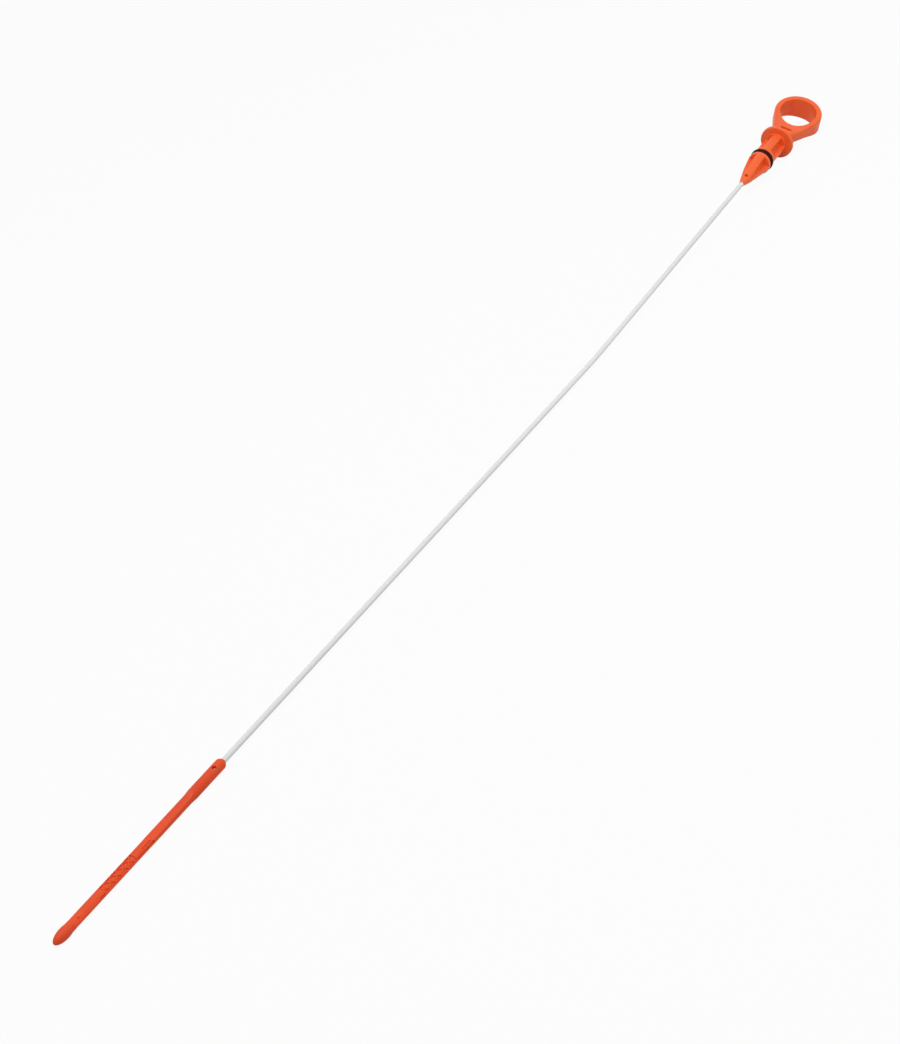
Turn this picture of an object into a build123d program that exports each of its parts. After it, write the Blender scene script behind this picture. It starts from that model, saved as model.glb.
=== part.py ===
from build123d import *

import os
from math import asin, atan2, cos, degrees, hypot, radians, sin, sqrt

# An engine oil dipstick, lying on a table as it comes to rest.
# A moulded handle has a finger ring, a flange and a ribbed plug that closes the filler tube.
# A rubber ring in a groove seals the plug, and a thin plastic rod carries a moulded gauge blade.
# Millimetres and degrees. The handle's own frame has its origin at the middle of the flange's seat,
# X along the plug towards the finger ring and Z through the ring's hole. The blade's own frame has
# its origin at the rod's end of the blade, with X along the rod towards the handle.

# Finger ring and neck, with a scoop in both faces where the ring meets the neck
ring_bore_dia = 22.0
ring_band = 3.6
seat_to_ring = 32.1
ring_far_depth = 14.6
ring_waist_depth = 8.2
scoop_radius = 36.0
scoop_floor_depth = 4.2
neck_depth = 7.2
neck_width = 6.6
waist_blend_radius = 22.0
ring_outer_edge_radius = 1.6
ring_inner_edge_radius = 0.9

# Oblong recess in both faces of the neck
recess_length = 7.4
recess_width = 2.8
recess_depth = 2.2
seat_to_recess = 13.4

# Flange and plug
flange_dia = 20.8
flange_thickness = 2.6
flange_edge_radius = 0.7
stem_dia = 12.8
collar_dia = 13.7
collar_length = 2.6
collar_edge_radius = 0.35
nose_length = 25.0
nose_tip_dia = 3.2
nose_bulge = 0.45
nose_tip_radius = 0.3

# Ribs of the plug: a broad rib top and bottom and a thinner web each side, with pockets between
rib_width = 5.3
web_thickness = 2.0
pocket_corner_radius = 0.6
stem_land_at_flange = 1.6
stem_land_at_seal = 2.4
nose_pocket_length = 18.5

# Rubber ring and its groove
seal_section_dia = 4.0
seal_seat_dia = 6.6
seat_to_seal = 21.6
seal_seat_clearance = 0.02
seal_side_clearance = 0.2

# Rod
rod_dia = 2.2
short_run_length = 194.35
long_run_length = 348.2
bend_radius = 600.0
side_set_deg = 0.82
rod_grip_in_nose = 24.0
rod_grip_in_blade = 20.0
rod_clearance = 0.02
rod_end_clearance = 0.2

# Holes that the mould's locating pins leave round the rod
pin_hole_dia = 2.1
nose_tip_to_pin_hole = 5.6
blade_end_to_pin_hole = 7.4

# Gauge blade, lengths along it from the rod's end
blade_length = 120.3
head_dia = 5.4
head_length = 23.2
head_end_radius = 2.6
shoulder_length = 3.6
body_dia = 4.85
bulb_dia = 5.45
bulb_tip_length = 6.8
bulb_length = 1.0
bulb_neck_length = 2.4
blade_blend_radius = 8.0

# Faces on both sides of the blade: a plain flat next to the head, then a crowned measuring face
flat_head_height = 1.9
flat_face_height = 1.6
face_start = 53.4
face_end = 107.9
face_head_ramp = 4.0
face_tip_ramp = 2.5
crown_height = 1.45
crown_radius = 3.3

# Panel of crossed ribs in the measuring face
hatch_start = 66.3
hatch_length = 21.5
hatch_width = 3.7
hatch_cells = 5
hatch_pitch = 4.34
hatch_first_cross = 3.2
hatch_rib_width = 0.62
hatch_depth = 0.35

# Lengthwise grooves along one edge of the measuring face, a shorter line beside them, and a dimple
groove_width = 0.5
groove_depth = 0.3
groove_offset = 1.88
groove_gap = 0.4
head_groove_length = 11.8
tip_groove_length = 3.4
line_start = 55.2
line_length = 5.8
line_offset = 0.7
dimple_dia = 0.9
dimple_depth = 0.4
tip_to_dimple = 15.4
dimple_offset = 0.6

# Turn of the handle and the blade about the rod, which brings the finger ring's edge down to the table
lying_turn_deg = 28.8

# Cutters reach this far past what they cut
overcut = 5.0

# Lengths that follow from the sizes above
ring_outer_radius = ring_bore_dia / 2 + ring_band
groove_half = seal_section_dia / 2 + seal_side_clearance
seal_centre_radius = seal_seat_dia / 2 + seal_seat_clearance + seal_section_dia / 2
nose_start = seat_to_seal + groove_half + collar_length
seat_to_nose_tip = nose_start + nose_length
rod_bore_radius = rod_dia / 2 + rod_clearance
axis_height = max(head_dia, bulb_dia) / 2


def tangent_point(point, centre, radius):
    """Where the tangent from a point above the X axis touches a circle, on the side away from that axis."""
    reach_x, reach_y = point[0] - centre[0], point[1] - centre[1]
    reach = hypot(reach_x, reach_y)
    angle = atan2(reach_y, reach_x) - atan2(sqrt(reach**2 - radius**2), radius)
    return centre[0] + radius * cos(angle), centre[1] + radius * sin(angle)


def revolved(outline):
    """Solid of revolution about X from a closed line in the XY plane."""
    return revolve(make_face(outline), axis=Axis.X)


def mirrored_pair(cutter):
    """A cutter and its copy on the other side of the XY plane."""
    return [cutter, mirror(cutter, about=Plane.XY)]


def loop():
    """Finger ring and neck: a drop-shaped plan, deepest at the far end and scooped out next to the neck."""
    centre = (seat_to_ring, 0)
    neck_start = flange_thickness / 2
    neck_corner = (neck_start, neck_width / 2)
    touch = tangent_point(neck_corner, centre, ring_outer_radius)
    arms = Polygon(
        neck_corner,
        touch,
        (touch[0], -touch[1]),
        (neck_start, -neck_width / 2),
        align=None,
    )
    plan = arms + Pos(*centre) * Circle(ring_outer_radius)

    waist_x = seat_to_ring - ring_bore_dia / 2
    ring_end = seat_to_ring + ring_outer_radius
    taper = (ring_far_depth - ring_waist_depth) / 2 / (ring_end - waist_x)
    side_end = ring_end + overcut
    side_end_height = ring_far_depth / 2 + taper * overcut
    upper = FilletPolyline(
        (neck_start, neck_depth / 2),
        (waist_x, ring_waist_depth / 2),
        (side_end, side_end_height),
        radius=waist_blend_radius,
    )
    lower = mirror(upper, about=Plane.XZ)
    ends = [Line(upper @ 0, lower @ 0), Line(upper @ 1, lower @ 1)]
    side = make_face(Curve() + upper + lower + ends)

    drop = extrude(plan, amount=side_end_height, both=True)
    drop &= extrude(Plane.XZ * side, amount=ring_outer_radius + overcut, both=True)
    outer_rim = drop.edges().filter_by(lambda edge: abs(edge.center().Z) > ring_waist_depth / 4)
    outer_rim = outer_rim.filter_by(lambda edge: abs(edge.center().Y) > neck_width / 4)
    drop = fillet(outer_rim, radius=ring_outer_edge_radius)

    scoop = Pos(waist_x, 0, scoop_floor_depth / 2 + scoop_radius) * Sphere(scoop_radius)
    drop -= mirrored_pair(scoop)
    drop -= Pos(*centre) * Cylinder(ring_bore_dia / 2, 2 * side_end_height + overcut)
    rim_reach = ring_bore_dia / 2 + ring_band / 4
    bore_rim = drop.edges().filter_by(
        lambda edge: hypot(edge.center().X - seat_to_ring, edge.center().Y) < rim_reach
    )
    bore_rim = bore_rim.filter_by(lambda edge: edge.bounding_box().size.X > ring_band)
    drop = fillet(bore_rim, radius=ring_inner_edge_radius)

    floor_height = neck_depth / 2 - recess_depth
    recess = Pos(seat_to_recess, 0, floor_height) * extrude(
        SlotOverall(recess_length, recess_width, rotation=90), amount=recess_depth + overcut
    )
    return drop - mirrored_pair(recess)


def plug():
    """Flange, stem, seal groove, collar and tapered nose in one turned form."""
    groove_start = seat_to_seal - groove_half
    groove_end = seat_to_seal + groove_half
    outline = Polyline(
        (flange_thickness, 0),
        (flange_thickness, flange_dia / 2),
        (0, flange_dia / 2),
        (0, stem_dia / 2),
        (-groove_start, stem_dia / 2),
        (-groove_start, seal_seat_dia / 2),
        (-groove_end, seal_seat_dia / 2),
        (-groove_end, collar_dia / 2),
        (-nose_start, collar_dia / 2),
    )
    nose_middle = (-nose_start - nose_length / 2, (collar_dia + nose_tip_dia) / 4 + nose_bulge)
    nose_tip = (-seat_to_nose_tip, nose_tip_dia / 2)
    nose_side = ThreePointArc(outline @ 1, nose_middle, nose_tip)
    end = Polyline(nose_tip, (-seat_to_nose_tip, 0), (flange_thickness, 0))
    form = revolved(Curve() + [outline, nose_side, end])
    rims = form.edges().filter_by(GeomType.CIRCLE)
    flange_rim = rims.filter_by(lambda edge: abs(edge.radius - flange_dia / 2) < collar_edge_radius)
    form = fillet(flange_rim, radius=flange_edge_radius)
    tip = form.edges().filter_by(GeomType.CIRCLE).sort_by(Axis.X)[0]
    form = fillet(tip, radius=nose_tip_radius)
    rims = form.edges().filter_by(GeomType.CIRCLE).filter_by(lambda edge: edge.radius > seal_centre_radius)
    groove_reach = groove_half + collar_edge_radius
    groove_rims = rims.filter_by(lambda edge: abs(edge.center().X + seat_to_seal) < groove_reach)
    form = fillet(groove_rims, radius=collar_edge_radius)

    # Pockets between the broad ribs and the side webs
    stem_pocket = (stem_land_at_flange, seat_to_seal - groove_half - stem_land_at_seal)
    nose_pocket = (nose_start, nose_start + nose_pocket_length)
    reach = collar_dia / 2 + overcut
    corner_y = rib_width / 2
    corner_z = web_thickness / 2
    section = Pos(corner_y, corner_z) * Rectangle(reach, reach, align=(Align.MIN, Align.MIN))
    inner_corner = section.vertices().sort_by_distance((0, 0, 0))[0]
    section = fillet(inner_corner, radius=pocket_corner_radius)
    for near_end, far_end in (stem_pocket, nose_pocket):
        quarter = Plane(origin=(-far_end, 0, 0), x_dir=(0, 1, 0), z_dir=(1, 0, 0)) * section
        pocket = extrude(quarter, amount=far_end - near_end)
        pair = [pocket, mirror(pocket, about=Plane.XZ)]
        form -= pair + [mirror(one, about=Plane.XY) for one in pair]
    return form


def handle():
    """The whole handle moulding, with the rod's bore and the pin hole through the nose."""
    body = plug() + loop()
    bore_depth = rod_grip_in_nose + rod_end_clearance
    bore_middle = bore_depth / 2 - seat_to_nose_tip
    bore = Pos(bore_middle, 0, 0) * Rot(0, 90, 0) * Cylinder(rod_bore_radius, bore_depth)
    pin_hole = Pos(nose_tip_to_pin_hole - seat_to_nose_tip, 0, 0) * Cylinder(pin_hole_dia / 2, collar_dia)
    return body - [bore, pin_hole]


def seal():
    """Rubber ring in the plug's groove."""
    return Pos(-seat_to_seal, 0, 0) * Rot(0, 90, 0) * Torus(seal_centre_radius, seal_section_dia / 2)


def blade_form():
    """Round head, slimmer body and a bullet-shaped tip, turned about the rod's axis."""
    head = head_dia / 2
    body = body_dia / 2
    bulb = bulb_dia / 2
    bulb_end = blade_length - bulb_tip_length
    bulb_start = bulb_end - bulb_length
    head_face = Line((0, 0), (0, head - head_end_radius))
    head_round = CenterArc((-head_end_radius, head - head_end_radius), head_end_radius, 0, 90)
    along = FilletPolyline(
        (-head_end_radius, head),
        (-head_length, head),
        (-head_length - shoulder_length, body),
        (-bulb_start + bulb_neck_length, body),
        (-bulb_start, bulb),
        (-bulb_end, bulb),
        radius=blade_blend_radius,
    )
    bullet = EllipticalCenterArc((-bulb_end, 0), bulb_tip_length, bulb, start_angle=90, arc_size=90)
    axis = Line((-blade_length, 0), (0, 0))
    return revolved(Curve() + [head_face, head_round, along, bullet, axis])


def above_crown(prism, depth=0.0):
    """The part of a cutter that reaches down to that depth below the crowned measuring face."""
    middle = Pos(-blade_length / 2, 0, crown_height - crown_radius)
    return prism - middle * Rot(0, 90, 0) * Cylinder(crown_radius - depth, blade_length)


def face_cutters():
    """What is cut away above the plain flat and above the crowned measuring face."""
    top = head_dia
    flat = Polyline(
        (-head_length, top),
        (-head_length, head_dia / 2),
        (-head_length - shoulder_length, flat_head_height),
        (-face_start, flat_face_height),
        (-face_start, top),
        close=True,
    )
    zone = Polyline(
        (-face_start, top),
        (-face_start, flat_face_height),
        (-face_start - face_head_ramp, 0),
        (-face_end, 0),
        (-face_end - face_tip_ramp, top),
        close=True,
    )
    flat_cut, zone_cut = [
        extrude(Plane.XZ * make_face(outline), amount=head_dia, both=True) for outline in (flat, zone)
    ]
    return [flat_cut, above_crown(zone_cut)]


def hatch_cutter():
    """Shallow panel of the measuring zone, leaving the crossed ribs standing."""
    field = Rectangle(hatch_length, hatch_width)
    slant = degrees(atan2(hatch_width, hatch_pitch))
    rib = Rectangle(hypot(hatch_pitch, hatch_width) + overcut, hatch_rib_width)
    for cell in range(hatch_cells):
        cross = hatch_length / 2 - hatch_first_cross - cell * hatch_pitch
        for lean in (slant, -slant):
            field -= Pos(cross, 0) * Rot(0, 0, lean) * rib
    panel = Pos(-hatch_start - hatch_length / 2, 0) * field
    return above_crown(extrude(panel, amount=head_dia), hatch_depth)


def groove_cutters():
    """Lengthwise grooves along one side of the measuring face, and a shorter line beside them."""
    head_start = hatch_start - groove_gap - head_groove_length
    tip_start = hatch_start + hatch_length + groove_gap
    grooves = [
        (head_start, head_groove_length, -groove_offset),
        (tip_start, tip_groove_length, -groove_offset),
        (line_start, line_length, -line_offset),
    ]
    cutters = []
    for start, length, offset in grooves:
        slot = Pos(-start - length / 2, offset) * SlotOverall(length, groove_width)
        cutters.append(above_crown(extrude(slot, amount=head_dia), groove_depth))
    return cutters


def gauge_blade():
    """The blade moulding, with its faces, hatch, grooves, dimple, rod bore and pin hole."""
    solid = blade_form()
    for cutter in face_cutters() + [hatch_cutter()] + groove_cutters():
        solid -= mirrored_pair(cutter)
    dimple_place = Pos(tip_to_dimple - blade_length, -dimple_offset, crown_height)
    dimple = dimple_place * Cylinder(dimple_dia / 2, 2 * dimple_depth)
    bore_depth = rod_grip_in_blade + rod_end_clearance
    bore = Pos(-bore_depth / 2, 0, 0) * Rot(0, 90, 0) * Cylinder(rod_bore_radius, bore_depth)
    pin_hole = Pos(-blade_end_to_pin_hole, 0, 0) * Cylinder(pin_hole_dia / 2, head_dia + overcut)
    return solid - [dimple, bore, pin_hole]


def rest_rise():
    """Angle by which the plug's axis climbs from the bend, so that the flange's rim stands on the table."""
    run = short_run_length + seat_to_nose_tip + flange_edge_radius
    slant = hypot(run, flange_dia / 2)
    return atan2(flange_dia / 2, run) - asin(axis_height / slant)


# Layout: the rod's long run and the blade lie along X, and the handle's run leaves the bend upwards
rise = rest_rise()
turn = radians(side_set_deg)
bend = Vector(0, 0, axis_height)
stem_dir = Vector(cos(rise) * cos(turn), cos(rise) * sin(turn), sin(rise))
upright = Vector(-sin(rise) * cos(turn), -sin(rise) * sin(turn), cos(rise))
seat_centre = bend + stem_dir * (short_run_length + seat_to_nose_tip)
blade_end = bend - Vector(long_run_length, 0, 0)
ring_dir = upright.rotate(Axis((0, 0, 0), stem_dir), lying_turn_deg)
handle_frame = Plane(origin=seat_centre, x_dir=stem_dir, z_dir=ring_dir)


def rod():
    """Round rod from the nose's bore through one gentle bend to the blade's bore."""
    path = FilletPolyline(
        bend + stem_dir * (short_run_length + rod_grip_in_nose),
        bend,
        blade_end - Vector(rod_grip_in_blade, 0, 0),
        radius=bend_radius,
    )
    return sweep(Plane(origin=path @ 0, z_dir=path % 0) * Circle(rod_dia / 2), path=path)


def build():
    """All pieces by name, with the origin under the middle of the part's box."""
    pieces = {
        "handle": handle_frame.location * handle(),
        "seal_ring": handle_frame.location * seal(),
        "rod": rod(),
        "gauge_blade": Pos(blade_end) * Rot(lying_turn_deg, 0, 0) * gauge_blade(),
    }
    boxes = [piece.bounding_box() for piece in pieces.values()]
    middle_x = (min(box.min.X for box in boxes) + max(box.max.X for box in boxes)) / 2
    middle_y = (min(box.min.Y for box in boxes) + max(box.max.Y for box in boxes)) / 2
    bottom = min(box.min.Z for box in boxes)
    to_origin = Pos(-middle_x, -middle_y, -bottom)
    return {name: to_origin * piece for name, piece in pieces.items()}, to_origin


def main():
    os.makedirs("parts", exist_ok=True)
    pieces, _ = build()
    for name, piece in pieces.items():
        export_step(piece, f"parts/{name}.step")


main()
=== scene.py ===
"""Engine oil dipstick on a white studio table: procedural finishes on the CAD nodes and a thicker rod."""
from math import radians

import bmesh
import bpy
from mathutils import Matrix, Vector


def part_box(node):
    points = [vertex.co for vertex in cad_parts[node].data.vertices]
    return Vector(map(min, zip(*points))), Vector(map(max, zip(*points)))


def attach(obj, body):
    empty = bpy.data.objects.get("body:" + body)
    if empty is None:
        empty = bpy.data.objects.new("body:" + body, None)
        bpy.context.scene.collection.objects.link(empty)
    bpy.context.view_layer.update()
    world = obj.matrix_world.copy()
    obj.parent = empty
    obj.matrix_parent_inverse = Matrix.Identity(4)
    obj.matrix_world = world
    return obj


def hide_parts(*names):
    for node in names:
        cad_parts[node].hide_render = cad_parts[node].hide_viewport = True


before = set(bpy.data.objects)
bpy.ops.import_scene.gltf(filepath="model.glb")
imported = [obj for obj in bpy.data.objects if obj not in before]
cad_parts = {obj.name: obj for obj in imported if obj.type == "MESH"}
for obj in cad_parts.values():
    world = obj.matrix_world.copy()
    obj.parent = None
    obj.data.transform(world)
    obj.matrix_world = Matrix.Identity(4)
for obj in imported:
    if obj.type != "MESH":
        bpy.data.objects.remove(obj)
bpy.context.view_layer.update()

# Camera, in metres in the part's frame
camera_place = Vector((-0.8142, -0.6932, 0.5359))
camera_aim = Vector((-0.0660, -0.0040, 0.0))
camera_roll_deg = 20.52
camera_lens_mm = 79.31
camera_sensor_mm = 36.0

# Studio: a table that runs far past the view, an even room, a broad lamp overhead and a low lamp
# by the handle
table_size = 14.0
table_colour = (0.64, 0.64, 0.64, 1.0)
table_whiteness = 0.94
room_light = 0.5
background_white = 1.0
pure_white = (1.0, 1.0, 1.0, 1.0)
lamps = {
    "key": dict(place=Vector((-0.15, -0.2, 1.5)), aim=Vector((0.0, 0.0, 0.0)), width=1.3, power=13.8),
    "fill": dict(place=Vector((0.2, -0.6, 0.28)), aim=Vector((0.34, 0.0, 0.012)), width=0.35, power=0.8),
}

# The rod between blade and nose, which is thinner in the CAD node than in the photo, in metres: what is
# added to its radius, the length of the step at each end and the distance at which vertices are joined.
# Then the angle between faces up to which it looks smooth
rod_extra_radius = 0.00027
rod_step_length = 0.00002
weld_distance = 0.0000001
smooth_below_deg = 35.0

# Finish of each piece: two close tones of its colour, gloss and roughness range, and in metres the size
# of its clouds and grain, the grain's depth and the softening of its edges
finishes = {
    "handle": dict(
        light=(0.90, 0.134, 0.028, 1.0), dark=(0.84, 0.112, 0.022, 1.0), gloss=0.3, rough=(0.34, 0.46),
        patch=0.014, grain=0.00035, grain_depth=0.000012, stretch=(1.0, 1.0, 1.0), edge=0.00022,
    ),
    "gauge_blade": dict(
        light=(0.785, 0.077, 0.015, 1.0), dark=(0.70, 0.060, 0.011, 1.0), gloss=0.22, rough=(0.40, 0.54),
        patch=0.018, grain=0.00030, grain_depth=0.000014, stretch=(1.0, 1.0, 1.0), edge=0.00018,
    ),
    "rod": dict(
        light=(0.74, 0.755, 0.745, 1.0), dark=(0.70, 0.717, 0.708, 1.0), gloss=0.15, rough=(0.46, 0.58),
        patch=0.006, grain=0.0006, grain_depth=0.000004, stretch=(0.04, 1.0, 1.0), edge=0.0001,
    ),
    "seal_ring": dict(
        light=(0.045, 0.009, 0.005, 1.0), dark=(0.032, 0.006, 0.003, 1.0), gloss=0.04, rough=(0.45, 0.6),
        patch=0.003, grain=0.00020, grain_depth=0.000008, stretch=(1.0, 1.0, 1.0), edge=0.0001,
    ),
}

# Shared by all finishes: the noise's detail, the range that its values mostly fill, where the two tones
# end and begin in it, the size of the gloss patches as a share of the clouds, the strength of the grain
# and the samples of the softened edges
cloud_detail = 3.0
grain_detail = 2.0
gloss_detail = 4.0
noise_low = 0.3
noise_high = 0.7
dark_up_to = 0.3
light_from = 0.62
gloss_patch_share = 0.35
grain_strength = 0.6
edge_samples = 6


def add_node(tree, kind, **inputs):
    """A node of that kind with its sockets set, each by a value or by another node's output."""
    node = tree.nodes.new(kind)
    for name, value in inputs.items():
        socket = node.inputs[name.replace("_", " ")]
        if isinstance(value, bpy.types.NodeSocket):
            tree.links.new(value, socket)
        else:
            socket.default_value = value
    return node


def new_tree(holder):
    """The empty node tree of a material or world, with its output node."""
    holder.use_nodes = True
    tree = holder.node_tree
    tree.nodes.clear()
    kind = "ShaderNodeOutputWorld" if isinstance(holder, bpy.types.World) else "ShaderNodeOutputMaterial"
    return tree, tree.nodes.new(kind)


def noise(tree, place, size, detail):
    """Noise whose features are about that many metres across."""
    node = add_node(tree, "ShaderNodeTexNoise", Vector=place, Scale=1.0 / size, Detail=detail)
    return node.outputs["Fac"]


def spread(tree, value, low, high):
    """A noise value spread over a range of numbers."""
    node = add_node(tree, "ShaderNodeMapRange", Value=value)
    node.inputs["From Min"].default_value = noise_low
    node.inputs["From Max"].default_value = noise_high
    node.inputs["To Min"].default_value = low
    node.inputs["To Max"].default_value = high
    return node.outputs["Result"]


def moulded(name, light, dark, gloss, rough, patch, grain, grain_depth, stretch, edge):
    """A moulded finish: clouded colour, uneven gloss, a fine skin grain and softened edges."""
    material = bpy.data.materials.new(name)
    tree, out = new_tree(material)
    place = add_node(tree, "ShaderNodeTexCoord").outputs["Object"]
    place = add_node(tree, "ShaderNodeMapping", Vector=place, Scale=stretch).outputs["Vector"]
    clouds = noise(tree, place, patch, cloud_detail)
    skin = noise(tree, place, grain, grain_detail)

    tone = add_node(tree, "ShaderNodeValToRGB", Fac=clouds)
    tone.color_ramp.elements[0].position = dark_up_to
    tone.color_ramp.elements[0].color = dark
    tone.color_ramp.elements[1].position = light_from
    tone.color_ramp.elements[1].color = light

    soft_edge = add_node(tree, "ShaderNodeBevel", Radius=edge)
    soft_edge.samples = edge_samples
    relief = add_node(
        tree, "ShaderNodeBump", Height=skin, Distance=grain_depth, Strength=grain_strength,
        Normal=soft_edge.outputs["Normal"],
    )
    gloss_patches = noise(tree, place, patch * gloss_patch_share, gloss_detail)
    skin_gloss = spread(tree, gloss_patches, *rough)
    shader = add_node(
        tree, "ShaderNodeBsdfPrincipled", Base_Color=tone.outputs["Color"], Roughness=skin_gloss,
        Normal=relief.outputs["Normal"], Specular_IOR_Level=gloss,
    )
    tree.links.new(shader.outputs["BSDF"], out.inputs["Surface"])
    return material


def shown_rod():
    """The rod node's form, thickened where it shows between the blade and the nose."""
    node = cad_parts["rod"]
    mesh = bpy.data.meshes.new("shown_rod")
    mesh.from_pydata([v.co for v in node.data.vertices], [], [list(p.vertices) for p in node.data.polygons])
    form = bmesh.new()
    form.from_mesh(mesh)
    bmesh.ops.remove_doubles(form, verts=form.verts[:], dist=weld_distance)
    blade_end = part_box("gauge_blade")[1][0]
    nose_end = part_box("handle")[0][0]
    for cut in (blade_end, blade_end + rod_step_length, nose_end - rod_step_length, nose_end):
        whole = form.verts[:] + form.edges[:] + form.faces[:]
        bmesh.ops.bisect_plane(form, geom=whole, plane_co=(cut, 0.0, 0.0), plane_no=(1.0, 0.0, 0.0))
    form.normal_update()
    shown_from = blade_end + rod_step_length / 2
    shown_to = nose_end - rod_step_length / 2
    for vertex in form.verts:
        if shown_from < vertex.co.x < shown_to:
            vertex.co += vertex.normal * rod_extra_radius
    form.to_mesh(mesh)
    form.free()
    mesh.shade_smooth()
    mesh.set_sharp_from_angle(angle=radians(smooth_below_deg))
    mesh.materials.append(node.material_slots[0].material)
    rod = bpy.data.objects.new("shown_rod", mesh)
    bpy.context.scene.collection.objects.link(rod)
    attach(rod, "root")
    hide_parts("rod")


def seen_directly(tree):
    """One for rays that show the background: from the camera, in a reflection or through glass."""
    path = tree.nodes.new("ShaderNodeLightPath")
    shown = path.outputs["Is Camera Ray"]
    for name in ("Is Glossy Ray", "Is Transmission Ray"):
        both = add_node(tree, "ShaderNodeMath")
        both.operation = "MAXIMUM"
        tree.links.new(shown, both.inputs[0])
        tree.links.new(path.outputs[name], both.inputs[1])
        shown = both.outputs["Value"]
    return shown


def mix_shaders(tree, share, first, second):
    """A mix of two shader nodes by a share that is a number or a socket."""
    mix = add_node(tree, "ShaderNodeMixShader", Fac=share)
    tree.links.new(first.outputs[0], mix.inputs[1])
    tree.links.new(second.outputs[0], mix.inputs[2])
    return mix


def table_top():
    """A white table that keeps a soft shadow."""
    bpy.ops.mesh.primitive_plane_add(size=table_size)
    plane = bpy.context.object
    plane.name = "table_top"
    material = bpy.data.materials.new("table_white")
    tree, out = new_tree(material)
    matt = add_node(tree, "ShaderNodeBsdfDiffuse", Color=table_colour)
    white = add_node(tree, "ShaderNodeEmission", Strength=background_white)
    part = add_node(tree, "ShaderNodeMath")
    part.operation = "MULTIPLY"
    tree.links.new(seen_directly(tree), part.inputs[0])
    part.inputs[1].default_value = table_whiteness
    surface = mix_shaders(tree, part.outputs["Value"], matt, white)
    tree.links.new(surface.outputs[0], out.inputs["Surface"])
    plane.data.materials.append(material)


def room():
    """An even pale room that shows as white behind the table."""
    world = bpy.data.worlds.new("room")
    bpy.context.scene.world = world
    tree, out = new_tree(world)
    lit = add_node(tree, "ShaderNodeBackground", Color=pure_white, Strength=room_light)
    shown = add_node(tree, "ShaderNodeBackground", Color=pure_white, Strength=background_white)
    surface = mix_shaders(tree, seen_directly(tree), lit, shown)
    tree.links.new(surface.outputs[0], out.inputs["Surface"])


def aimed(place, target, roll_deg=0.0):
    """A pose at that place which looks at the target, rolled about its line of sight."""
    turn = (target - place).to_track_quat("-Z", "Y").to_matrix().to_4x4()
    return Matrix.Translation(place) @ turn @ Matrix.Rotation(radians(roll_deg), 4, "Z")


def soft_lamp(name, place, aim, width, power):
    """A square area lamp, aimed at a point."""
    data = bpy.data.lights.new(name, "AREA")
    data.size = width
    data.energy = power
    lamp = bpy.data.objects.new(name, data)
    lamp.matrix_world = aimed(place, aim)
    bpy.context.scene.collection.objects.link(lamp)


def camera():
    """The photo's camera."""
    data = bpy.data.cameras.new("camera")
    data.lens = camera_lens_mm
    data.sensor_width = camera_sensor_mm
    eye = bpy.data.objects.new("camera", data)
    eye.matrix_world = aimed(camera_place, camera_aim, -camera_roll_deg)
    bpy.context.scene.collection.objects.link(eye)
    bpy.context.scene.camera = eye


for node_name, finish in finishes.items():
    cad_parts[node_name].material_slots[0].material = moulded(node_name + "_finish", **finish)
shown_rod()
table_top()
room()
for lamp_name, lamp in lamps.items():
    soft_lamp(lamp_name, **lamp)
camera()
bpy.context.scene.view_settings.view_transform = "Standard"
